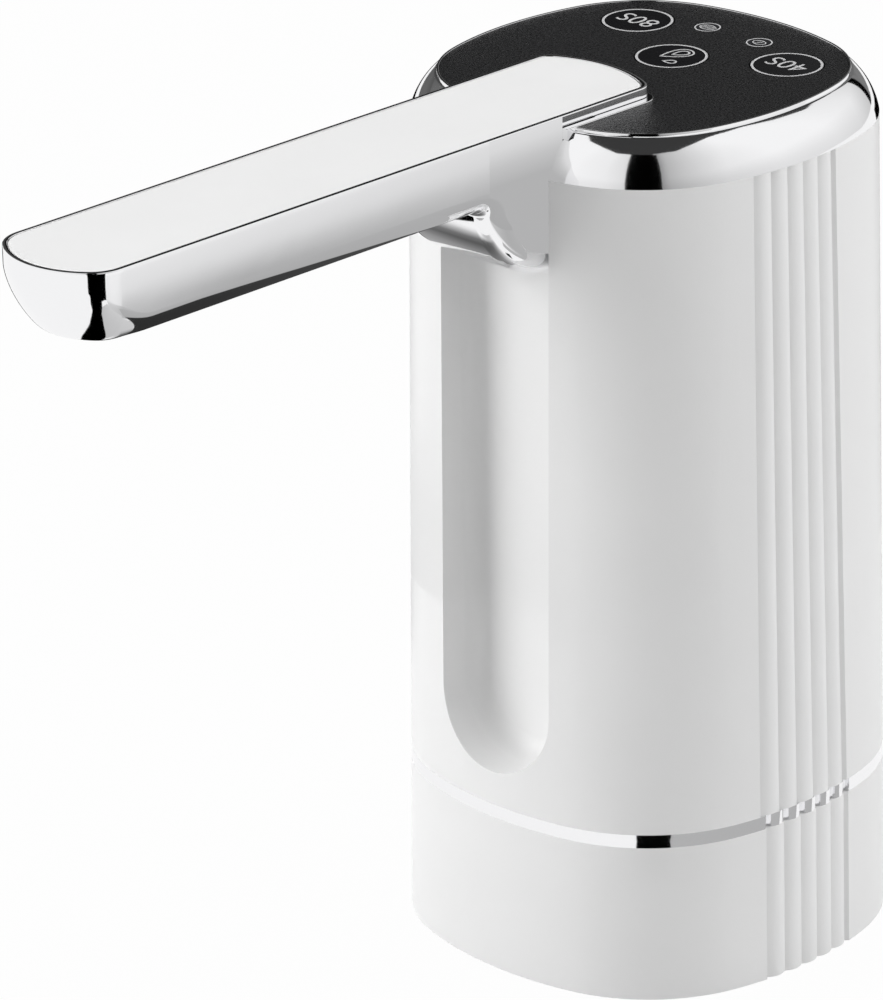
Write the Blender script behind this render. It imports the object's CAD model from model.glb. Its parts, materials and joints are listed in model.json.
import json
from contextlib import contextmanager
from math import asin, atan2, cos, hypot, pi, radians, sin, sqrt, tan
import bmesh
import bpy
from mathutils import Matrix, Vector


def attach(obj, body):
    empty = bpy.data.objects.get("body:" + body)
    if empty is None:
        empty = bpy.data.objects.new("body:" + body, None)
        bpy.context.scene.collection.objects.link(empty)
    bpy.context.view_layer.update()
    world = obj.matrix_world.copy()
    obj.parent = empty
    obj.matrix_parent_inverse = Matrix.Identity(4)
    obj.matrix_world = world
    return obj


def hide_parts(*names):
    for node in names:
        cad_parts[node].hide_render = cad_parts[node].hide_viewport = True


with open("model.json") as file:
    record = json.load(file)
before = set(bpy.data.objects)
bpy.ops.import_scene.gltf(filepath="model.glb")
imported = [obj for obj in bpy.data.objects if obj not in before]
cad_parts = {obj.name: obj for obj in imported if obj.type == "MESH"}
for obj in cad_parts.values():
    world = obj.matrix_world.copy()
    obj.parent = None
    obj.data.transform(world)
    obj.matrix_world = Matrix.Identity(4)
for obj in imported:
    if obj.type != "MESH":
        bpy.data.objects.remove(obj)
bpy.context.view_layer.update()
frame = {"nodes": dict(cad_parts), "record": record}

# Foot collar: moulded white plastic, satin, with fine upright flutes on two sides. It is the
# lowest ring of the body, with a sleeve inside that goes over the bottle's neck.
MM = 0.001
facet_gap = 0.004


class Reading:
    """A value in a node tree. Sums on it add the Math nodes that work it out."""

    def __init__(self, shading, socket):
        self.shading = shading
        self.socket = socket

    def worked(self, operation, first, second):
        return self.shading.node("ShaderNodeMath", {"operation": operation}, {0: first, 1: second})

    def __add__(self, other):
        return self.worked("ADD", self, other)

    def __mul__(self, other):
        return self.worked("MULTIPLY", self, other)

    def most(self, other):
        return self.worked("MAXIMUM", self, other)

    __radd__ = __add__
    __rmul__ = __mul__


class Shading:
    """The node tree of a material or of the world. One method adds every node."""

    def __init__(self, owner):
        owner.use_nodes = True
        self.tree = owner.node_tree

    def node(self, kind, settings, sockets, output=0):
        """Add a node: its type, its settings, its sockets' values or readings. Returns one output."""
        made = self.tree.nodes.new(kind)
        for setting, value in settings.items():
            if setting == "stops":
                for stop, (position, shade) in zip(made.color_ramp.elements, value):
                    stop.position = position
                    stop.color = (shade, shade, shade, 1.0)
            else:
                setattr(made, setting, value)
        for socket, value in sockets.items():
            if isinstance(value, Reading):
                self.tree.links.new(value.socket, made.inputs[socket])
            else:
                made.inputs[socket].default_value = value
        return Reading(self, made.outputs[output]) if made.outputs else None


class Finish(Shading):
    """A surface finish of the pump: one shader, and what varies over the surface."""

    def __init__(self, name, colour, roughness, metallic=0.0):
        self.material = bpy.data.materials.new(name)
        self.material.diffuse_color = (*colour, 1.0)
        super().__init__(self.material)
        self.shader = self.tree.nodes["Principled BSDF"]
        self.shader.inputs["Base Color"].default_value = (*colour, 1.0)
        self.shader.inputs["Roughness"].default_value = roughness
        self.shader.inputs["Metallic"].default_value = metallic
        self.place = self.node("ShaderNodeTexCoord", {}, {}, "Object")

    def feed(self, socket, reading):
        self.tree.links.new(reading.socket, self.shader.inputs[socket])

    def noise(self, per_metre, detail=2.0, rough=0.5, place=None):
        sockets = {"Vector": place or self.place, "Scale": per_metre, "Detail": detail, "Roughness": rough}
        return self.node("ShaderNodeTexNoise", {}, sockets, "Fac")

    def stretched(self, x, y, z):
        return self.node("ShaderNodeMapping", {}, {"Vector": self.place, "Scale": (x, y, z)})

    def ramp(self, value, low, high):
        """Value between two stops, each a position and what it gives there."""
        return self.node("ShaderNodeValToRGB", {"stops": (low, high)}, {"Fac": value})

    def blend(self, share, first, second):
        """Colour between two colours, by a share."""
        sockets = {0: share, 6: (*first, 1.0), 7: (*second, 1.0)}
        return self.node("ShaderNodeMix", {"data_type": "RGBA"}, sockets, 2)

    def vary(self, share, first, second, roughness, spread):
        """Let one share change the colour from first to second, and the roughness by a spread."""
        self.feed("Base Color", self.blend(share, first, second))
        self.feed("Roughness", roughness + share * spread)

    def bump(self, height, distance):
        self.feed("Normal", self.node("ShaderNodeBump", {}, {"Height": height, "Distance": distance}))


def moulded(name, colour, roughness, grain=2600.0, relief=0.000012):
    """Satin moulded plastic: fine eroded grain, and gloss that changes faintly over the surface."""
    finish = Finish(name, colour, roughness)
    drift = finish.noise(38.0, 3.0)
    fine = finish.noise(grain, 3.0, 0.6)
    paler = tuple(min(1.0, part * 1.02) for part in colour)
    darker = tuple(part * 0.97 for part in colour)
    finish.feed("Base Color", finish.blend(drift, darker, paler))
    finish.feed("Roughness", roughness - 0.05 + drift * 0.06 + fine * 0.05)
    finish.bump(fine, relief)
    return finish


def dress(piece, finish):
    """Put one finish on a new piece and name the record's slot for it."""
    piece.data.materials.clear()
    piece.data.materials.append(finish.material)


def placed(name, data):
    """New object in the scene for a mesh, a curve, a text, a light or a camera."""
    thing = bpy.data.objects.new(name, data)
    bpy.context.collection.objects.link(thing)
    return thing


def drawn_mesh(thing):
    """Plain mesh of an object as its modifiers, curve or text draw it."""
    graph = bpy.context.evaluated_depsgraph_get()
    return bpy.data.meshes.new_from_object(thing.evaluated_get(graph), depsgraph=graph)


@contextmanager
def edited(mesh):
    """Open a mesh to the bmesh tools, and write it back after them."""
    form = bmesh.new()
    form.from_mesh(mesh)
    yield form
    form.to_mesh(mesh)
    form.free()


def smooth_faces(piece, sharp_degrees):
    """Shade a piece smooth, with true corners kept sharp and flat faces kept flat."""
    faceted = piece.data
    faceted.shade_smooth()
    faceted.set_sharp_from_angle(angle=radians(sharp_degrees))
    modifier = piece.modifiers.new("even", "WEIGHTED_NORMAL")
    modifier.keep_sharp = True
    modifier.weight = 100
    smooth = drawn_mesh(piece)
    piece.modifiers.clear()
    piece.data = smooth
    bpy.data.meshes.remove(faceted)
    smooth.name = piece.name


def polished(node, name, sharp_degrees=24.0):
    """Copy of a node's form with its facets joined, so that light runs over it smoothly."""
    piece = placed(name, frame["nodes"][node].data.copy())
    with edited(piece.data) as form:
        bmesh.ops.remove_doubles(form, verts=form.verts, dist=facet_gap * MM)
    if piece.data.has_custom_normals:
        piece.data.attributes.remove(piece.data.attributes["custom_normal"])
    smooth_faces(piece, sharp_degrees)
    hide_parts(node)
    return piece


white_satin = moulded("satin_white", (0.80, 0.80, 0.80), 0.40)
collar = polished("base_collar", "foot_collar")
dress(collar, white_satin)
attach(collar, "housing")

# Body shell: one white moulding with flutes on two sides and a spoon-shaped channel in front that
# the spout folds into. The bezel's skirt is pushed into its top.
shell = polished("body_shell", "body_shell_wall")
dress(shell, white_satin)
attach(shell, "housing")

# Trim band: thin chrome-plated ring between the collar and the shell, notched at each groove.
# The plating is mirror bright, with the faint ripple and fine speckle of plated plastic.
chrome = Finish("chrome_plate", (0.90, 0.90, 0.91), 0.05, metallic=1.0)
drift = chrome.noise(55.0)
speckle = chrome.noise(3500.0, 2.0, 0.7)
ripple = chrome.noise(160.0, 1.0)
chrome.feed("Roughness", 0.03 + drift * 0.03 + speckle * 0.04)
chrome.bump(ripple * 0.6 + speckle * 0.05, 0.000008)
band = polished("trim_band", "chrome_band")
dress(band, chrome)
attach(band, "housing")

# Bezel: chrome-plated ring over the shell's top edge, one long curve from the wall to a thin lip
# round the key panel. It is open in front, where the spout's neck comes through.
foot_half = 38.0
corner_radius = 28.0
side_half = radians(15.5)
arc_shift = (foot_half - corner_radius) / (1 + sin(side_half) - cos(side_half))
side_radius = corner_radius + arc_shift
side_centre = foot_half - side_radius
corner_centre = arc_shift * sin(side_half)
lean = tan(radians(0.77))
shell_top = 142.27
panel_top = 150.0
panel_seat = 148.4
slot_half = 12.3
slot_back = -24.0


def spaced(first, last, steps):
    """Even values from the first to the last, both among them."""
    return [first + (last - first) * step / steps for step in range(steps + 1)]


def arc(x, y, radius, first, last, steps):
    """Points along an arc about a centre, both its ends among them."""
    return [(x + radius * cos(angle), y + radius * sin(angle)) for angle in spaced(first, last, steps)]


def swung(points, turn):
    """Points of a plan turned about the origin."""
    return [(x * cos(turn) - y * sin(turn), x * sin(turn) + y * cos(turn)) for x, y in points]


def outline(inset):
    """Points round the body at an inset from the foot's outline, anticlockwise from +X."""
    corner_first, corner_last = side_half, pi / 2 - side_half
    quarter = arc(side_centre, 0.0, side_radius - inset, -side_half, side_half, 20)[:-1]
    quarter += arc(corner_centre, corner_centre, corner_radius - inset, corner_first, corner_last, 36)[:-1]
    return [point for turn in (0.0, pi / 2, pi, pi * 3 / 2) for point in swung(quarter, turn)]


class Shape:
    """Points in millimetres and faces of a piece while it is put together."""

    def __init__(self):
        self.points = []
        self.faces = []

    def add(self, *points):
        """Add points, and give back their places in the list."""
        self.points += points
        return list(range(len(self.points) - len(points), len(self.points)))

    def level(self, outline_points, height):
        return self.add(*[(x, y, height) for x, y in outline_points])

    def strip(self, first, second):
        """Faces between two rows of points."""
        for place in range(len(first) - 1):
            self.faces.append((first[place], first[place + 1], second[place + 1], second[place]))

    def all_round(self, rows):
        """Faces from each closed row of points to the next."""
        for first, second in zip(rows, rows[1:]):
            self.strip(first + first[:1], second + second[:1])

    def piece(self, name):
        mesh = bpy.data.meshes.new(name)
        mesh.from_pydata([[part * MM for part in point] for point in self.points], [], self.faces)
        mesh.validate()
        return placed(name, mesh)


def in_front(part, line):
    """Whether the whole of a point, an edge or a face lies in front of a line across the body."""
    return all(point.co.y < line * MM for point in getattr(part, "verts", (part,)))


def opened(piece, half_width, back, rounding):
    """Cut the front opening in a ring, between two upright planes, and round and close the cut ends."""
    seat_gap = 0.03
    least_facing = 0.3
    least_outward = 0.1
    with edited(piece.data) as form:
        # Each end is cut first beside the opening, which gives its rounding points to move.
        for side in (1, -1):
            for beside in (rounding, 0.2, 0.06, 0.0):
                front = [part for part in (*form.verts, *form.edges, *form.faces) if in_front(part, back)]
                place = (side * (half_width + beside) * MM, 0, 0)
                bmesh.ops.bisect_plane(form, geom=front, plane_co=place, plane_no=(side, 0, 0))
        inside = []
        for face in form.faces:
            middle = face.calc_center_median()
            if middle.y < back * MM and abs(middle.x) < half_width * MM:
                inside.append(face)
        bmesh.ops.delete(form, geom=inside, context="FACES")
        bmesh.ops.recalc_face_normals(form, faces=form.faces)
        form.normal_update()
        for point in form.verts:
            beside = max(0.0, abs(point.co.x) / MM - half_width)
            facing = Vector((0.0, point.normal.y, point.normal.z))
            outer = facing.length > least_facing and facing.z - facing.y > least_outward
            above_seat = point.co.z > (shell_top + seat_gap) * MM
            if outer and above_seat and in_front(point, back) and beside < rounding:
                move = rounding - sqrt(rounding**2 - (rounding - beside) ** 2)
                point.co -= facing.normalized() * move * MM
        bmesh.ops.holes_fill(form, edges=[edge for edge in form.edges if edge.is_boundary], sides=0)
        bmesh.ops.recalc_face_normals(form, faces=form.faces)


curve_start = 140.0
curve_height = panel_top - curve_start
curve_inset = 5.3
curve_round = (curve_height**2 + curve_inset**2) / (2 * curve_inset)
curve_back = curve_round - sqrt(curve_round**2 - (shell_top - curve_start) ** 2)
rim_inset = shell_top * lean - curve_back + curve_inset
curve_centre = rim_inset - curve_inset + curve_round
curve_first = asin((shell_top - curve_start) / curve_round)
edge_angle = 0.88
edge_round = 0.8
edge_last = 1.45
lip_outer = rim_inset - 0.5
lip_round = 0.05
lip_shoulder = 0.14
lip_top = 150.1
lip_side = 150.06
lip_foot = 149.97
ledge_inset = rim_inset + 2.4
ledge_bottom = 146.8
cavity_inset = rim_inset - 1.2
skirt_inner = 5.96
skirt_outer = 4.37
skirt_bottom = 138.27
bezel_section = arc(curve_centre, curve_start, curve_round, pi - curve_first, pi - edge_angle, 24)
edge_inset, edge_height = bezel_section[-1]
edge_centre = (edge_inset + edge_round * cos(edge_angle), edge_height - edge_round * sin(edge_angle))
bezel_section += arc(*edge_centre, edge_round, pi - edge_angle, pi - edge_last, 8)[1:]
bezel_section += [
    (lip_outer, lip_foot + 0.01), (lip_outer + lip_round, lip_side), (lip_outer + lip_shoulder, lip_top),
    (rim_inset - lip_shoulder, lip_top), (rim_inset - lip_round, lip_side), (rim_inset, lip_foot),
    (rim_inset, panel_seat), (ledge_inset, panel_seat), (ledge_inset, ledge_bottom),
    (cavity_inset, ledge_bottom), (cavity_inset, shell_top), (skirt_inner, shell_top),
    (skirt_inner, skirt_bottom), (skirt_outer, skirt_bottom), (skirt_outer, shell_top),
]
ring = Shape()
rows = [ring.level(outline(inset), height) for inset, height in bezel_section]
ring.all_round(rows + rows[:1])
bezel = ring.piece("chrome_bezel")
opened(bezel, slot_half, slot_back, rounding=0.45)
smooth_faces(bezel, 32.0)
dress(bezel, chrome)
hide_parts("top_bezel")
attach(bezel, "housing")

# Slot trim: flat chrome-plated frame that lies in the key panel round the spout's slot. It is
# clipped in from below and stands a quarter of a millimetre proud of the panel.
tail_back = -7.7
tail_corner = 3.0
tail_drop = 3.3
trim_half = 13.4
trim_front = -31.5
trim_top = 150.25
trim_edge = 0.12
same_height = 0.001


def bowed_end(half, back, corner, drop):
    """Points of a bowed back end with round corners, from the right side to the left."""
    bow = (half**2 + drop**2) / (2 * drop)
    middle = back - bow
    across = half - corner
    corner_y = middle + sqrt((bow - corner) ** 2 - across**2)
    meet = atan2(corner_y - middle, across)
    points = arc(across, corner_y, corner, 0.0, meet, 10)
    points += arc(0.0, middle, bow, meet, pi - meet, 18)[1:-1]
    return points + arc(-across, corner_y, corner, pi - meet, pi, 10)


def plate(name, outlines):
    """Solid plate between level outlines, each with its height, from the lowest up."""
    shape = Shape()
    rows = [shape.level(points, height) for points, height in outlines]
    shape.faces += [tuple(reversed(rows[0])), tuple(rows[-1])]
    shape.all_round(rows)
    return shape.piece(name)


trim_points = bowed_end(trim_half, tail_back, tail_corner, tail_drop)
trim_points += [(-trim_half, trim_front), (-slot_half, trim_front), (-slot_half, slot_back)]
trim_points += [(slot_half, slot_back), (slot_half, trim_front), (trim_half, trim_front)]
trim = plate("slot_trim", [(trim_points, panel_seat), (trim_points, trim_top)])
with edited(trim.data) as form:
    top = (trim_top - same_height) * MM
    rim = [edge for edge in form.edges if all(point.co.z > top for point in edge.verts)]
    bmesh.ops.bevel(form, geom=rim, offset=trim_edge * MM, segments=4, profile=0.5, affect="EDGES",
                    clamp_overlap=True)
smooth_faces(trim, 50.0)
dress(trim, chrome)
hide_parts("spout_trim")
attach(trim, "housing")

# Spout: hollow chrome-plated arm with a boat-shaped tip, a thin tail over the panel and the round
# barrel of its hinge under it. The pale plate lies in a recess in its top.
arm_half = 11.95
arm_bottom = 139.5
arm_top = 152.1
arm_reach = 134.4
nose_radius = 15.0
nose_corner = 6.5
nose_middle = nose_radius - arm_reach
side_round = 4.0
side_steps = 16
front_start = -58.0
neck_back = -24.6
barrel_back = -25.5
wall_stations = [neck_back, barrel_back, -30.0, -36.0, -42.0, -50.0, front_start]
wall_stations += [*spaced(-64.0, -96.0, 4), -100.0, *spaced(-102.0, -122.0, 20)]
recess_side = 0.75
recess_floor = 151.2
rim_low = 151.3
rim_rows = [
    (recess_side, recess_floor), (recess_side, 152.02), (0.71, 152.08), (0.65, arm_top), (0.42, arm_top),
    (0.19, arm_top), (0.08, 152.05), (0.02, 151.96), (0.0, 151.85), (0.0, rim_low),
]


def half_plan(inset):
    """Right half of the spout's plan from the neck forward to the nose, at an inset."""
    half = arm_half - inset
    bow = nose_radius - inset
    corner = nose_corner - inset
    across = half - corner
    corner_y = nose_middle - sqrt((bow - corner) ** 2 - across**2)
    meet = atan2(nose_middle - corner_y, across)
    points = [(half, y) for y in wall_stations + spaced(wall_stations[-1], corner_y, 4)[1:-1]]
    points += arc(across, corner_y, corner, 0.0, -meet, 16)
    return points + arc(0.0, nose_middle, bow, -meet, -pi / 2, 24)[1:]


def closed_plan(inset):
    """Whole plan of the spout at an inset: right side, nose, left side, bowed tail."""
    right = half_plan(inset)
    left = [(-x, y) for x, y in reversed(right[:-1])]
    tail = bowed_end(arm_half - inset, tail_back - inset, tail_corner - inset, tail_drop)
    return right + left + list(reversed(tail))


def lower_profile(y):
    """Insets and heights down the wall and round to the flat underside, fuller at the tip."""
    tip_run = 15.0
    tip_inward = 0.7
    tip_upward = 6.3
    tip_bow_in = 0.65
    tip_bow_down = 0.27
    share = min(1.0, max(0.0, (nose_middle - y) / tip_run))
    share = share * share * (3 - 2 * share)
    inward = side_round + tip_inward * share
    upward = side_round + tip_upward * share
    profile = []
    for angle in spaced(0.0, pi / 2, side_steps):
        bow_in = 1 - cos(angle) ** (1 + tip_bow_in * share)
        bow_down = 1 - sin(angle) ** (1 + tip_bow_down * share)
        profile.append((inward * bow_in, arm_bottom + upward * bow_down))
    return [(0.0, (rim_low + profile[0][1]) / 2)] + profile


plan = closed_plan(0.0)
right_last = len(half_plan(0.0)) - 1
front_first = wall_stations.index(front_start)
front_last = 2 * right_last - front_first
arm = Shape()
# The recess for the plate and the rim round it, from the recess's floor out to the wall.
rows = [arm.level(closed_plan(inset), height) for inset, height in rim_rows]
arm.faces.append(tuple(rows[0]))
arm.all_round(rows)
wall = rows[-1]
# The wall in front of the neck, which rounds into the underside. Each column of points leans
# towards the spout's middle line, and at the nose towards the middle of its bow.
columns = []
for place in range(front_first, front_last + 1):
    x, y = plan[place]
    aim_y = max(y, nose_middle)
    far = hypot(x, y - aim_y)
    column = [wall[place]]
    for inset, height in lower_profile(y):
        share = inset / far
        column += arm.add((x * (1 - share), y + (aim_y - y) * share, height))
    columns.append(column)
for first, second in zip(columns, columns[1:]):
    arm.strip(first, second)

# The neck: where the arm's lower side runs into the barrel over a small hollow, and both their
# rims are rounded alike. The slot in the barrel clears the fitting that feeds the water in.
hinge_y = -31.0
hinge_z = 142.0
barrel_radius = 17.0
neck_blend = 1.4
neck_step = 147.5
tail_bottom = 150.35
slot_side = 3.4
slot_high = 147.2
slot_front = -36.2
hollow_z = arm_bottom - neck_blend
hollow_y = hinge_y - sqrt((barrel_radius + neck_blend) ** 2 - (hinge_z - hollow_z) ** 2)
hollow_turn = atan2(hinge_z - hollow_z, hinge_y - hollow_y)
slot_turn = pi / 2 - asin((hinge_y - slot_front) / barrel_radius)
last_turn = pi / 2 + asin((barrel_back - hinge_y) / barrel_radius)
run_steps = 6
hollow_steps = 8
barrel_steps = 40
slot_steps = 16
slot_place = run_steps + hollow_steps + barrel_steps


def rolled(y, z, radius, turns):
    """Points on an arc of the neck's profile, each with the way that its surface faces."""
    return [(y - radius * cos(turn), z - radius * sin(turn), -cos(turn), -sin(turn)) for turn in turns]


under = [(y, arm_bottom, 0.0, -1.0) for y in spaced(front_start, hollow_y, run_steps)[1:-1]]
under += rolled(hollow_y, hollow_z, -neck_blend, spaced(pi / 2, hollow_turn, hollow_steps))
under += rolled(hinge_y, hinge_z, barrel_radius, spaced(hollow_turn, slot_turn, barrel_steps)[1:])
under += rolled(hinge_y, hinge_z, barrel_radius, spaced(slot_turn, last_turn, slot_steps)[1:])
# Each side of the neck: its rounded rim, its flank down to the slot, and its flat wall above.
ends = {}
for side, start in ((1, columns[0]), (-1, columns[-1])):
    rings = [start[2:]]
    for y, z, out_y, out_z in under:
        row = []
        for angle in spaced(0.0, pi / 2, side_steps):
            drop = side_round * (1 - sin(angle))
            x = side * (arm_half - side_round * (1 - cos(angle)))
            row += arm.add((x, y - out_y * drop, z - out_z * drop))
        rings.append(row)
    deep = arm.add((side * slot_side, front_start, arm_bottom))
    for y, z, out_y, out_z in under:
        deep += arm.add((side * slot_side, y, z))
    for first, second in zip(rings, rings[1:]):
        arm.strip(first, second)
    arm.strip([row[-1] for row in rings], deep)
    back = arm.add((side * arm_half, barrel_back, neck_step), (side * arm_half, neck_back, neck_step))
    back += arm.add((side * arm_half, neck_back, tail_bottom))
    outer = [row[0] for row in rings]
    if side > 0:
        arm.faces.append(tuple(wall[:front_first + 1] + [start[1]] + outer + back))
    else:
        arm.faces.append(tuple(wall[front_last:2 * right_last + 1] + back[::-1] + outer[::-1] + [start[1]]))
    ends[side] = {"last": rings[-1], "deep": deep, "back": back}
right, left = ends[1], ends[-1]
# Between the sides: the barrel's face, the slot in it, the neck's back and the tail's underside.
arm.strip(right["deep"][:slot_place + 1], left["deep"][:slot_place + 1])
high = {side: arm.add((side * slot_side, slot_front, slot_high), (side * slot_side, barrel_back, slot_high))
        for side in (1, -1)}
arm.faces.append((right["deep"][slot_place], high[1][0], high[-1][0], left["deep"][slot_place]))
arm.faces.append((high[1][0], high[1][1], high[-1][1], high[-1][0]))
for side in (1, -1):
    arm.faces.append(tuple(ends[side]["deep"][slot_place:] + [high[side][1], high[side][0]]))
back_loop = [right["back"][0], *right["last"], right["deep"][-1], high[1][1], high[-1][1], left["deep"][-1]]
arm.faces.append(tuple(back_loop + left["last"][::-1] + [left["back"][0]]))
arm.strip(right["back"], left["back"])
tail_ring = [*range(2 * right_last, len(plan)), 0]
tail_low = arm.level([plan[place] for place in tail_ring[1:-1]], tail_bottom)
tail_low = [left["back"][2], *tail_low, right["back"][2]]
arm.strip([wall[place] for place in tail_ring], tail_low)
arm.faces.append(tuple(tail_low))

# The spout's flat underside, with the round socket that the outlet nozzle sits in. It closes the
# arm, which is then plated as one piece.
outlet_y = -114.1
outlet_radius = 6.4
socket_roof = 148.3
same_point = 0.0005


def circle(x, y, radius_x, radius_y=None, steps=72):
    tall = radius_y or radius_x
    return [(x + radius_x * cos(angle), y + tall * sin(angle)) for angle in spaced(0.0, 2 * pi, steps)[:-1]]


spout = arm.piece("spout_arm_chrome")
with edited(spout.data) as form:
    form.verts.ensure_lookup_table()
    edge_places = [column[-1] for column in columns] + [left["deep"][0], right["deep"][0]]
    floor_ring = [form.verts[place] for place in edge_places]
    rounds = circle(0.0, outlet_y, outlet_radius, steps=48)
    hole = [form.verts.new((x * MM, y * MM, arm_bottom * MM)) for x, y in rounds]
    roof = [form.verts.new((x * MM, y * MM, socket_roof * MM)) for x, y in rounds]
    edges = []
    for loop in (floor_ring, hole):
        for first, second in zip(loop, loop[1:] + loop[:1]):
            edges.append(form.edges.get((first, second)) or form.edges.new((first, second)))
    bmesh.ops.triangle_fill(form, edges=edges, use_beauty=True)
    for corners in zip(hole, hole[1:] + hole[:1], roof[1:] + roof[:1], roof):
        form.faces.new(corners)
    form.faces.new(roof)
    bmesh.ops.remove_doubles(form, verts=form.verts, dist=same_point * MM)
    bmesh.ops.recalc_face_normals(form, faces=form.faces)
smooth_faces(spout, 30.0)
dress(spout, chrome)
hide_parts("spout_arm")
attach(spout, "spout")

# Top plate: pale matt plate, painted with a fine pearl, pressed into the spout's recess. A narrow
# gap round it shows as a thin dark line inside the chrome rim.
plate_side = 0.87
plate_rows = [(plate_side, 151.22), (plate_side, 151.86), (0.92, 151.98), (1.02, 152.06), (1.16, arm_top)]
top_plate = plate("spout_plate", [(closed_plan(inset), height) for inset, height in plate_rows])
with edited(top_plate.data) as form:
    bmesh.ops.recalc_face_normals(form, faces=form.faces)
smooth_faces(top_plate, 40.0)
pearl = Finish("pale_pearl", (0.79, 0.79, 0.79), 0.34)
fine = pearl.noise(5200.0, 2.0, 0.7)
broad = pearl.noise(70.0)
pearl.feed("Base Color", pearl.blend(fine * 0.6 + broad * 0.4, (0.75, 0.75, 0.75), (0.83, 0.83, 0.83)))
pearl.feed("Roughness", 0.28 + fine * 0.14)
pearl.bump(fine, 0.000006)
dress(top_plate, pearl)
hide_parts("spout_top_plate")
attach(top_plate, "spout")

# Key panel: black moulded plate with a fine eroded grain, and openings for three keys and two
# lights. The bezel's lip holds it all round.
panel_black = Finish("grained_black", (0.012, 0.012, 0.013), 0.34)
pits = panel_black.ramp(panel_black.noise(2600.0, 2.0, 0.6), (0.38, 0.0), (0.62, 1.0))
panel_black.vary(pits, (0.001, 0.001, 0.0015), (0.017, 0.017, 0.018), 0.18, 0.2)
panel_black.bump(pits, 0.00008)
panel = polished("touch_panel", "key_panel", 30.0)
dress(panel, panel_black)
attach(panel, "housing")

# Keys: three gloss black discs flush with the panel, each with a pale printed ring and its sign:
# the two running times in seconds, and a drop for the key that runs while it is held.
key_black = Finish("gloss_black", (0.008, 0.008, 0.009), 0.13)
smear = key_black.noise(240.0, 3.0)
dust = key_black.noise(3600.0)
key_black.feed("Roughness", 0.10 + smear * 0.10)
key_black.feed("Base Color", key_black.blend(dust, (0.005, 0.005, 0.006), (0.014, 0.014, 0.015)))
print_grey = Finish("printed_grey", (0.50, 0.50, 0.50), 0.5)
print_grey.vary(print_grey.noise(6000.0), (0.34, 0.34, 0.35), (0.62, 0.62, 0.62), 0.42, 0.2)
ink_height = 0.02
ink_middle = (panel_top + ink_height / 2) * MM


def inked_tree():
    """Line print: a flat raised line of a given width and height along a path."""
    tree = bpy.data.node_groups.new("printed_line", "GeometryNodeTree")
    tree.interface.new_socket("Geometry", in_out="INPUT", socket_type="NodeSocketGeometry")
    for name, value in (("Line width", 0.4 * MM), ("Ink height", ink_height * MM)):
        tree.interface.new_socket(name, in_out="INPUT", socket_type="NodeSocketFloat").default_value = value
    tree.interface.new_socket("Ink", in_out="INPUT", socket_type="NodeSocketMaterial")
    tree.interface.new_socket("Geometry", in_out="OUTPUT", socket_type="NodeSocketGeometry")
    given = tree.nodes.new("NodeGroupInput")
    result = tree.nodes.new("NodeGroupOutput")
    section = tree.nodes.new("GeometryNodeCurvePrimitiveQuadrilateral")
    sweep = tree.nodes.new("GeometryNodeCurveToMesh")
    sweep.inputs["Fill Caps"].default_value = True
    real = tree.nodes.new("GeometryNodeRealizeInstances")
    inked = tree.nodes.new("GeometryNodeSetMaterial")
    for source, output, target, entry in (
            (given, "Geometry", sweep, "Curve"), (given, "Line width", section, "Width"),
            (given, "Ink height", section, "Height"), (section, "Curve", sweep, "Profile Curve"),
            (sweep, "Mesh", real, "Geometry"), (real, "Geometry", inked, "Geometry"),
            (given, "Ink", inked, "Material"), (inked, "Geometry", result, "Geometry")):
        tree.links.new(source.outputs[output], target.inputs[entry])
    return tree


printed_line = inked_tree()


def printed(name, paths, width, body):
    """Printed lines along closed or open paths in millimetres, as one piece on a body."""
    curve = bpy.data.curves.new(name, "CURVE")
    curve.dimensions = "3D"
    curve.twist_mode = "Z_UP"
    for points, closed in paths:
        spline = curve.splines.new("POLY")
        spline.points.add(len(points) - 1)
        for point, (x, y) in zip(spline.points, points):
            point.co = (x * MM, y * MM, ink_middle, 1.0)
        spline.use_cyclic_u = closed
    drawn = placed(name, curve)
    modifier = drawn.modifiers.new("ink", "NODES")
    modifier.node_group = printed_line
    given = [socket for socket in printed_line.interface.items_tree if socket.in_out == "INPUT"]
    sizes = {socket.name: socket.identifier for socket in given}
    modifier[sizes["Line width"]] = width * MM
    modifier[sizes["Ink height"]] = ink_height * MM
    modifier[sizes["Ink"]] = print_grey.material
    mesh = drawn_mesh(drawn)
    bpy.data.objects.remove(drawn)
    piece = placed(name, mesh)
    dress(piece, print_grey)
    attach(piece, body)


def drop(x, y, size, turn):
    """Outline of a water drop, its point at the far end of a turn."""
    middle_shift = 0.12
    width = 0.82
    taper = 1.1
    points = []
    for angle in spaced(0.0, 2 * pi, 48)[:-1]:
        along = size * (cos(angle) - middle_shift)
        across = size * width * sin(angle) * sin(angle / 2) ** taper
        points.append((along, across))
    return [(x + east, y + north) for east, north in swung(points, turn)]


def lettered(name, words, x, y, size, body):
    """Printed figures on a key, read from behind the pump, with their tops towards the spout."""
    text = bpy.data.curves.new(name, "FONT")
    text.body = words
    text.size = size * MM
    text.extrude = ink_height / 2 * MM
    text.offset = -0.02 * MM
    text.align_x = "CENTER"
    text.align_y = "CENTER"
    drawn = placed(name, text)
    mesh = drawn_mesh(drawn)
    bpy.data.objects.remove(drawn)
    across = [point.co.x for point in mesh.vertices]
    along = [point.co.y for point in mesh.vertices]
    centred = Matrix.Translation((-(min(across) + max(across)) / 2, -(min(along) + max(along)) / 2, 0))
    mesh.transform(Matrix.Translation((x * MM, y * MM, ink_middle)) @ Matrix.Rotation(pi, 4, "Z") @ centred)
    piece = placed(name, mesh)
    dress(piece, print_grey)
    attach(piece, body)


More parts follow.
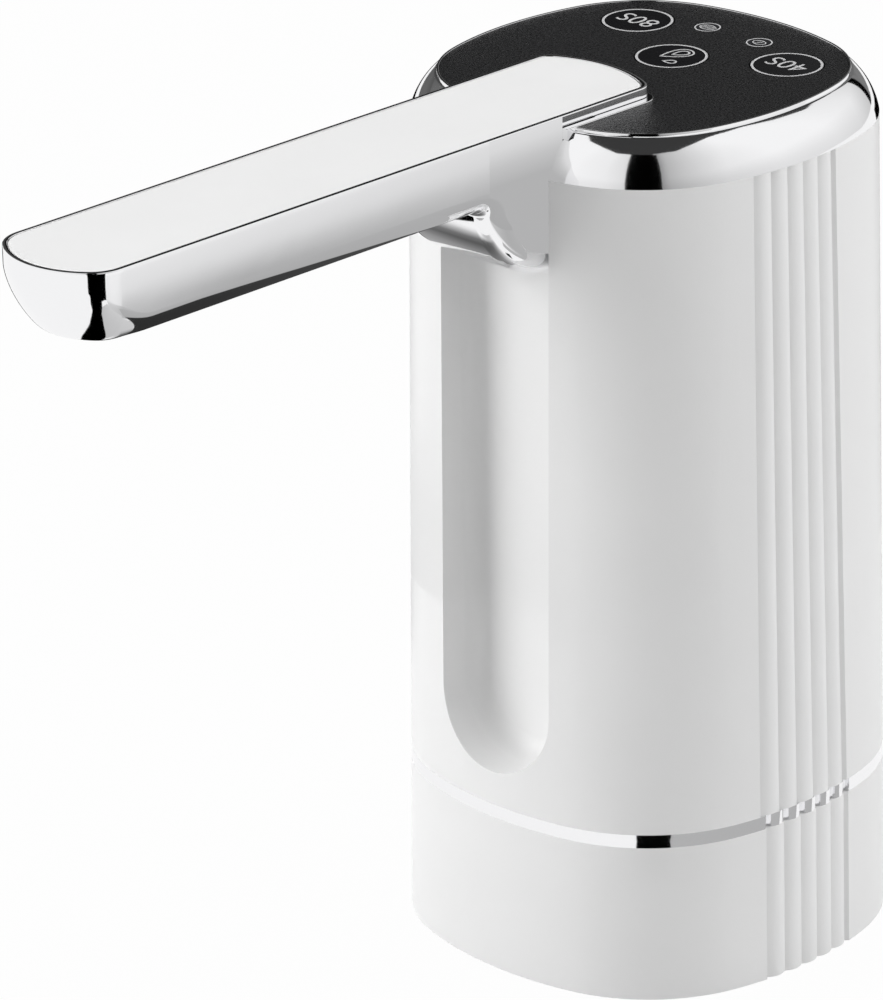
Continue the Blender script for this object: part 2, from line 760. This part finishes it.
key_side = 16.9
key_y = 16.2
key_ring_radius = 5.75
key_ring_line = 0.42
keys = {"key_80": (-key_side, key_y), "key_40": (key_side, key_y), "key_dispense": (0.0, 6.6)}
for node, (x, y) in keys.items():
    button = polished(node, node + "_disc", 30.0)
    dress(button, key_black)
    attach(button, node)
    printed(node + "_ring", [(circle(x, y, key_ring_radius), True)], key_ring_line, node)
figure_size = 5.4
figure_y = 16.3
lettered("key_80_figures", "80S", -key_side, figure_y, figure_size, "key_80")
lettered("key_40_figures", "40S", key_side, figure_y, figure_size, "key_40")
drops = [(drop(-0.3, 7.7, 2.9, radians(245)), True), (drop(0.1, 8.4, 1.5, radians(245)), True),
         (drop(1.5, 4.3, 1.15, radians(200)), True)]
drop_line = 0.32
printed("key_dispense_drops", drops, drop_line, "key_dispense")

# Lights: two smoky round windows flush with the panel, with a small printed ring and sign on
# each: one lights while the battery charges, the other while the pump runs.
window = Finish("smoky_window", (0.02, 0.02, 0.022), 0.2)
window.vary(window.noise(900.0, 3.0), (0.012, 0.012, 0.014), (0.03, 0.03, 0.033), 0.15, 0.12)
light_x = 5.85
light_y = 21.45
light_ring_radius = 2.1
light_ring_line = 0.24
sign_line = 0.2
for node, x in (("indicator_lens_left", light_x), ("indicator_lens_right", -light_x)):
    pane = polished(node, node + "_pane", 30.0)
    dress(pane, window)
    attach(pane, "housing")
    printed(node + "_ring", [(circle(x, light_y, light_ring_radius), True)], light_ring_line, "housing")
bolt = [(light_x - 0.6, 20.7), (light_x + 0.35, 21.75), (light_x - 0.35, 21.35), (light_x + 0.6, 22.3)]
printed("charge_sign", [(circle(light_x, light_y, 1.2, 0.9), True), (bolt, False)], sign_line, "housing")
waves = [([(x - light_x, 20.8), (x - light_x + 0.35, 22.1)], False) for x in spaced(-1.1, 1.1, 4)]
printed("running_sign", waves + [(circle(-light_x, light_y, 1.45, 1.05), True)], sign_line, "housing")

# Working parts inside the body: each keeps its own form and gets the finish of what it is made of,
# such as moulded plastic, turned steel, wound copper, rubber and fibreglass board.


def turned_metal(name, colour, roughness, lines=900.0):
    """Metal turned on a lathe: fine lines round it, and slightly uneven gloss."""
    finish = Finish(name, colour, roughness, metallic=1.0)
    drift = finish.noise(60.0)
    cut = finish.noise(lines, 2.0, 0.6, finish.stretched(0.25, 0.25, 6.0))
    finish.feed("Roughness", roughness - 0.05 + drift * 0.06 + cut * 0.1)
    finish.feed("Base Color", finish.blend(drift, tuple(part * 0.9 for part in colour), colour))
    finish.bump(cut, 0.00001)
    return finish


def rubbery(name, colour, roughness):
    """Rubber, or another dull black stuff: a pale bloom on it, and a fine grain."""
    finish = Finish(name, colour, roughness)
    bloom = finish.noise(180.0, 4.0, 0.6)
    finish.vary(bloom, colour, tuple(min(1.0, part * 1.25 + 0.01) for part in colour), roughness, 0.12)
    finish.bump(finish.noise(3000.0), 0.00002)
    return finish


board_green = Finish("board_green", (0.02, 0.14, 0.06), 0.3)
cells = board_green.node("ShaderNodeTexVoronoi", {"feature": "DISTANCE_TO_EDGE"},
                         {"Vector": board_green.place, "Scale": 260.0}, "Distance")
track = board_green.ramp(cells, (0.05, 1.0), (0.09, 0.0))
board_green.vary(track, (0.012, 0.10, 0.04), (0.05, 0.24, 0.11), 0.24, 0.12)
board_green.bump(track, 0.00002)
sleeve_blue = Finish("sleeve_blue", (0.03, 0.10, 0.36), 0.28)
shrink = sleeve_blue.noise(120.0, 3.0, 0.5, sleeve_blue.stretched(1.0, 1.0, 0.2))
sleeve_blue.vary(shrink, (0.02, 0.08, 0.30), (0.04, 0.13, 0.42), 0.2, 0.16)
sleeve_blue.bump(shrink, 0.00006)
milky = Finish("milky_hose", (0.72, 0.73, 0.71), 0.32)
milky.vary(milky.noise(220.0, 3.0), (0.62, 0.64, 0.62), (0.78, 0.79, 0.77), 0.26, 0.14)
component_black = Finish("component_black", (0.02, 0.02, 0.022), 0.45)
flecks = component_black.noise(1500.0, 3.0)
component_black.vary(flecks, (0.012, 0.012, 0.014), (0.04, 0.04, 0.042), 0.38, 0.2)
inner_finish = {
    "soft_rubber": rubbery("seal_rubber", (0.02, 0.02, 0.021), 0.6),
    "hose": milky,
    "pump_plastic": moulded("pump_grey", (0.56, 0.58, 0.60), 0.45, 1800.0, 0.00002),
    "gear_plastic": moulded("gear_white", (0.80, 0.78, 0.70), 0.36, 2200.0, 0.00001),
    "steel": turned_metal("bright_steel", (0.62, 0.62, 0.64), 0.25),
    "can_steel": turned_metal("zinc_steel", (0.52, 0.53, 0.56), 0.38, 500.0),
    "magnet": rubbery("magnet_black", (0.03, 0.03, 0.032), 0.55),
    "copper": turned_metal("wound_copper", (0.72, 0.38, 0.20), 0.3, 1600.0),
    "circuit_board": board_green,
    "cell_sleeve": sleeve_blue,
    "black_panel": component_black,
}
slots = {part["node"]: part["material_slot"] for part in frame["record"]["subparts"]}
shown = {node: inner for node, inner in frame["nodes"].items() if not inner.hide_render}
for node, inner in shown.items():
    for held in inner.material_slots:
        held.link = "OBJECT"
        held.material = inner_finish[slots[node]].material

# Studio floor: a wide white sheet. It looks white to the camera and in metal and glass, and is
# plain matt paint to all other light, so that it still takes the pump's soft shadow.


def bare(owner):
    """Shading of a studio material or of the world, from an empty tree."""
    shading = Shading(owner)
    shading.tree.nodes.clear()
    return shading


def seen_ray(shading):
    """One where the camera, metal or glass looks, and zero for soft light."""
    camera = shading.node("ShaderNodeLightPath", {}, {}, "Is Camera Ray")
    gloss = shading.node("ShaderNodeLightPath", {}, {}, "Is Glossy Ray")
    glass = shading.node("ShaderNodeLightPath", {}, {}, "Is Transmission Ray")
    return camera.most(gloss).most(glass)


def sheet(name, rows, paint):
    """Sheet of the studio between rows of points in metres."""
    across = len(rows[0])
    faces = []
    for row in range(len(rows) - 1):
        for low in range(row * across, row * across + across - 1):
            faces.append((low, low + 1, low + across + 1, low + across))
    mesh = bpy.data.meshes.new(name)
    mesh.from_pydata([point[:3] for row in rows for point in row], [], faces)
    mesh.materials.append(paint)
    made = placed(name, mesh)
    return made


floor_half = 4.0
floor_grey = 0.55
floor_share = 0.97
floor_white = bpy.data.materials.new("floor_white")
floor_shading = bare(floor_white)
glow = floor_shading.node("ShaderNodeEmission", {}, {"Color": (1, 1, 1, 1)})
matt = floor_shading.node("ShaderNodeBsdfDiffuse", {}, {"Color": (floor_grey, floor_grey, floor_grey, 1)})
glow_share = seen_ray(floor_shading) * floor_share
mixed = floor_shading.node("ShaderNodeMixShader", {}, {"Fac": glow_share, 1: matt, 2: glow})
floor_shading.node("ShaderNodeOutputMaterial", {}, {"Surface": mixed})
floor_sides = (-floor_half, floor_half)
sheet("floor", [[(x, y, 0) for x in floor_sides] for y in floor_sides], floor_white)

# Far cards: plain sheets about two metres away that only gloss shows. The chrome mirrors them as
# its pale bands, the black stripe between them, and the dark band that a dim ceiling gives.
card_tone = bpy.data.materials.new("card_tone")
card_shading = bare(card_tone)
card_shade = card_shading.node("ShaderNodeAttribute", {"attribute_name": "shade"}, {}, "Fac")
card_glow = card_shading.node("ShaderNodeEmission", {}, {"Strength": card_shade})
card_shading.node("ShaderNodeOutputMaterial", {}, {"Surface": card_glow})
sky_y = -0.03
sky_z = 0.12
ceiling_shade = 0.042


def card(name, rows):
    """Card from rows of points in metres, each with its shade after its place; only gloss shows it."""
    made = sheet(name, rows, card_tone)
    shades = made.data.attributes.new("shade", "FLOAT", "POINT")
    for held, point in zip(shades.data, [point for row in rows for point in row]):
        held.value = point[3]
    made.visible_camera = False
    made.visible_diffuse = False
    made.visible_transmission = False
    made.visible_volume_scatter = False
    made.visible_shadow = False


def sky_point(far, turn, rise, shade):
    """Point of a far card, given by its turn round the pump and its rise, in degrees."""
    across = far * cos(radians(rise))
    x = across * cos(radians(turn))
    y = across * sin(radians(turn)) + sky_y
    return (x, y, far * sin(radians(rise)) + sky_z, shade)


def sky_card(name, far, turns, rises):
    """Card bent round the pump: turns with their shades, and rises with the share kept of a shade."""
    rows = []
    for rise, share in rises:
        rows.append([sky_point(far, turn, rise, shade * share) for turn, shade in turns])
    card(name, rows)


gap_tones = [(turn, 0.0) for turn in range(-60, -33, 2)]
sky_card("card_gap", 2.0, gap_tones, [(-4, 1.0), (12, 1.0), (28, 1.0), (56, 1.0)])
right_tones = [(-34, 0.33), (-28, 0.5), (-20, 0.58), (-8, 0.68), (5, 0.78), (20, 0.9), (35, 1.0), (60, 1.0),
               (80, 0.9), (98, 0.75)]
sky_card("card_right", 2.2, right_tones, [(-4, 0.8), (6, 0.86), (20, 1.0), (40, 1.0), (62, 1.0)])
left_tones = [(-130, 1.0), (-100, 1.0), (-75, 0.92), (-60, 0.8)]
sky_card("card_left", 2.2, left_tones, [(-4, 0.85), (15, 1.0), (62, 1.0)])
ceiling_edge = [
    (-144, 66), (-120, 62), (-95, 60), (-75, 55.5), (-46, 54.5), (-12, 57.5), (14, 61), (40, 60), (52, 56),
    (60, 53), (66, 46), (74, 38), (84, 36), (98, 34), (120, 34), (140, 34), (170, 40), (190, 55), (216, 66),
]
ceiling_rows = []
for share in (0.0, 0.35, 0.7, 1.0):
    rises = [(turn, edge + (90 - edge) * share) for turn, edge in ceiling_edge]
    ceiling_rows.append([sky_point(2.1, turn, rise, ceiling_shade) for turn, rise in rises])
card("card_ceiling", ceiling_rows)
behind_tones = [(104, 0.14), (114, 0.16), (124, 0.16), (129, 0.14), (132, 0.008), (139, 0.008), (142, 0.05),
                (152, 0.07), (164, 0.13), (176, 0.16)]
sky_card("card_behind", 2.0, behind_tones, [(12, 1.0), (20, 1.0), (30, 0.8), (40, 0.6)])
low_tones = [(104, 0.22), (124, 0.18), (140, 0.10), (160, 0.13), (176, 0.15)]
sky_card("card_behind_level", 2.01, low_tones, [(-3, 1.0), (5, 1.0), (12, 0.7)])
edge_tones = [(97, 0.0), (99, 0.0), (102, 0.0), (103, 0.2), (106, 0.2)]
sky_card("card_edge", 1.9, edge_tones, [(-5, 1.0), (10, 1.0), (34, 1.0)])

# Near cards: small sheets close to the spout and the foot, also shown by gloss alone. The side,
# the underside and the tip of the spout mirror them as soft grey runs and dark edges.
spout_card_x = 0.100
arm_card_x = 0.0121
under_z = 0.135
neck_floor_z = 0.062
tip_z = 0.105
beside_tip_z = 0.1048
behind_low_z = 0.004
foot_z = 0.02
beside_foot_z = 0.001


def level_card(name, height, rows):
    """Level card at a height, from rows of places with their shades."""
    card(name, [[(x, y, height, shade) for x, y, shade in row] for row in rows])


side_places = (-0.143, -0.11, -0.05, -0.02, 0.02, 0.05, 0.11)
side_tones = [
    (0.130, (1.0, 1.0, 1.0, 0.98, 0.95, 0.93, 0.90)),
    (0.1135, (0.88, 0.92, 0.95, 0.93, 0.88, 0.86, 0.85)),
    (0.1045, (0.78, 0.83, 0.82, 0.80, 0.78, 0.76, 0.75)),
    (0.1015, (0.74, 0.74, 0.66, 0.62, 0.61, 0.60, 0.60)),
    (0.0985, (0.70, 0.68, 0.54, 0.44, 0.50, 0.49, 0.49)),
    (0.085, (0.66, 0.62, 0.50, 0.46, 0.48, 0.48, 0.48)),
    (0.030, (0.58, 0.57, 0.50, 0.46, 0.47, 0.47, 0.47)),
    (0.018, (0.9, 0.9, 0.9, 0.6, 0.47, 0.47, 0.47)),
    (0.004, (0.95, 0.95, 0.95, 0.8, 0.47, 0.47, 0.47)),
]
side_rows = []
for z, shades in side_tones:
    side_rows.append([(spout_card_x, y, z, shade) for y, shade in zip(side_places, shades)])
card("card_beside_spout", side_rows)
neck_starts = [(-0.0475, 0.1425), (-0.0445, 0.141), (-0.042, 0.1345), (-0.039, 0.131), (-0.031, 0.1285)]
neck_tones = [(0.1439, 0.49), (0.147, 0.60), (0.150, 0.76), (0.1519, 0.8)]
card("card_beside_neck", [[(arm_card_x, y, z, shade) for z, shade in [(low, 0.49), *neck_tones]]
                          for y, low in neck_starts])
under_outer_x = 0.028
under_step = 0.0008
near_grey = 0.44
far_grey = 0.47
under_darks = [
    (-0.1195, -0.006, 0.019, 0.028), (-0.101, -0.006, 0.019, 0.034), (-0.083, -0.006, 0.0137, 0.05),
    (-0.0606, -0.006, 0.0084, 0.07), (-0.0505, -0.004, 0.004, 0.09),
]
under_rows = []
for y, left_x, right_x, shade in under_darks:
    greys = [(right_x + under_step, y, near_grey), (under_outer_x, y, far_grey)]
    under_rows.append([(left_x, y, shade), (right_x, y, shade), *greys])
level_card("card_under_side", under_z, under_rows)
neck_side_rows = [[(0.0135, y, near_grey), (under_outer_x, y, far_grey)] for y in (-0.0505, -0.040)]
level_card("card_under_neck_side", under_z, neck_side_rows)
neck_across = (-0.092, -0.061, -0.039, -0.025, -0.012, 0.002, 0.016, 0.027)
neck_floor = [
    (0.040, (0.5, 0.40, 0.40, 0.40, 0.40, 0.5, 0.8, 1.0)),
    (0.007, (0.45, 0.35, 0.35, 0.32, 0.35, 0.55, 0.8, 1.0)),
    (-0.021, (0.40, 0.26, 0.26, 0.24, 0.22, 0.40, 0.75, 1.0)),
    (-0.043, (0.2, 0.11, 0.12, 0.16, 0.2, 0.28, 0.6, 1.0)),
    (-0.054, (0.25, 0.18, 0.10, 0.11, 0.14, 0.20, 0.45, 0.9)),
    (-0.065, (0.6, 0.5, 0.13, 0.12, 0.11, 0.14, 0.35, 0.8)),
    (-0.073, (0.9, 0.85, 0.6, 0.22, 0.14, 0.17, 0.32, 0.7)),
    (-0.080, (1.0, 1.0, 1.0, 0.75, 0.6, 0.5, 0.6, 0.9)),
    (-0.090, (1.0, 1.0, 1.0, 0.9, 0.6, 0.55, 0.6, 0.9)),
]
neck_rows = []
for y, shades in neck_floor:
    neck_rows.append([(x, y, shade) for x, shade in zip(neck_across, shades)])
level_card("card_under_neck", neck_floor_z, neck_rows)
level_card("card_behind_low", behind_low_z, [[(-0.13, 0.0, 0.0), (-0.03, 0.13, 0.0)],
                                             [(-0.9, 0.15, 0.0), (-0.15, 0.9, 0.0)]])
tip_edges = [
    ((-0.071, -0.071), (-0.029, -0.062)), ((-0.033, -0.0947), (-0.0138, -0.0947)),
    ((-0.020, -0.1142), (-0.0098, -0.1107)), ((-0.0138, -0.1218), (-0.0044, -0.1133)),
    ((-0.0075, -0.1307), (0.0027, -0.1187)), ((0.0, -0.1391), (0.0084, -0.124)),
    ((0.0098, -0.1484), (0.0178, -0.1342)), ((0.0227, -0.1577), (0.032, -0.1458)),
    ((0.0306, -0.1693), (0.0488, -0.1515)), ((0.0453, -0.1844), (0.0688, -0.1577)),
    ((0.0573, -0.2004), (0.0915, -0.1538)), ((0.0635, -0.2124), (0.108, -0.1445)),
    ((0.140, -0.329), (0.245, -0.166)), ((0.31, -0.65), (0.603, -0.223)),
]
level_card("card_before_tip", tip_z, [[(*left, 0.0), (*right, 0.0)] for left, right in tip_edges])
beside_edges = [(0.0178, -0.102), (0.031, -0.102), (0.0488, -0.1045), (0.0533, -0.1133), (0.0599, -0.1289),
                (0.0755, -0.1422)]
tip_rows = [[(*tip[1], 0.56), (*beside, 0.66)] for tip, beside in zip(tip_edges[3:9], beside_edges)]
level_card("card_beside_tip", beside_tip_z, tip_rows)
level_card("card_before_foot", foot_z, [[(0.0285, -0.0335, 0.0), (0.0335, -0.0285, 0.0)],
                                        [(0.0425, -0.0525, 0.0), (0.0545, -0.0405, 0.0)]])
level_card("card_beside_foot", beside_foot_z, [[(0.080, -0.062, far_grey), (0.130, -0.070, far_grey)],
                                               [(0.080, 0.02, far_grey), (0.130, 0.02, far_grey)],
                                               [(0.070, 0.085, near_grey), (0.120, 0.115, near_grey)]])

# Light: an even pale room, which the camera and gloss see as white, and three soft panels to the
# left, to the right and above. Gloss shows the cards in place of the panels.
room_light = 0.42
lamp_aim = (0.0, -0.02, 0.08)
world = bpy.data.worlds.new("studio_white")
bpy.context.scene.world = world
room = bare(world)
strength = room.node("ShaderNodeMapRange", {}, {"Value": seen_ray(room), "To Min": room_light, "To Max": 1})
room_glow = room.node("ShaderNodeBackground", {}, {"Color": (1, 1, 1, 1), "Strength": strength})
room.node("ShaderNodeOutputWorld", {}, {"Surface": room_glow})


def light_panel(name, place, width, height, watts):
    """Soft rectangular light at a place in metres, facing the pump."""
    data = bpy.data.lights.new(name, "AREA")
    data.shape = "RECTANGLE"
    data.size = width
    data.size_y = height
    data.energy = watts
    lamp = placed(name, data)
    lamp.location = place
    lamp.rotation_euler = (Vector(lamp_aim) - Vector(place)).to_track_quat("-Z", "Y").to_euler()
    lamp.visible_glossy = False


light_panel("panel_left", (-0.86, -1.17, 0.5), 1.0, 1.2, 17.0)
light_panel("panel_right", (1.21, 0.88, 0.5), 1.3, 1.2, 12.6)
light_panel("panel_above", (0.0, -0.05, 1.7), 1.2, 1.2, 15.0)

# Camera at the photograph's place, far back behind a long lens. Its turn is counted from +X, its
# rise from level, and its roll leans the picture by about a degree.
camera_place = (0.7462776, -0.7758692, 0.5168919)
camera_turn = radians(-44.290935)
camera_rise = radians(22.380212)
camera_roll = radians(-0.973848)
camera_data = bpy.data.cameras.new("camera")
camera_data.lens = 249.92
camera_data.sensor_width = 36.0
camera_data.clip_end = 50.0
camera = placed("camera", camera_data)
turned = Matrix.Rotation(camera_turn + pi / 2, 4, "Z")
raised = Matrix.Rotation(pi / 2 - camera_rise, 4, "X")
leaned = Matrix.Rotation(camera_roll, 4, "Z")
camera.matrix_world = Matrix.Translation(camera_place) @ turned @ raised @ leaned
bpy.context.scene.camera = camera
bpy.context.scene.view_settings.view_transform = "Standard"
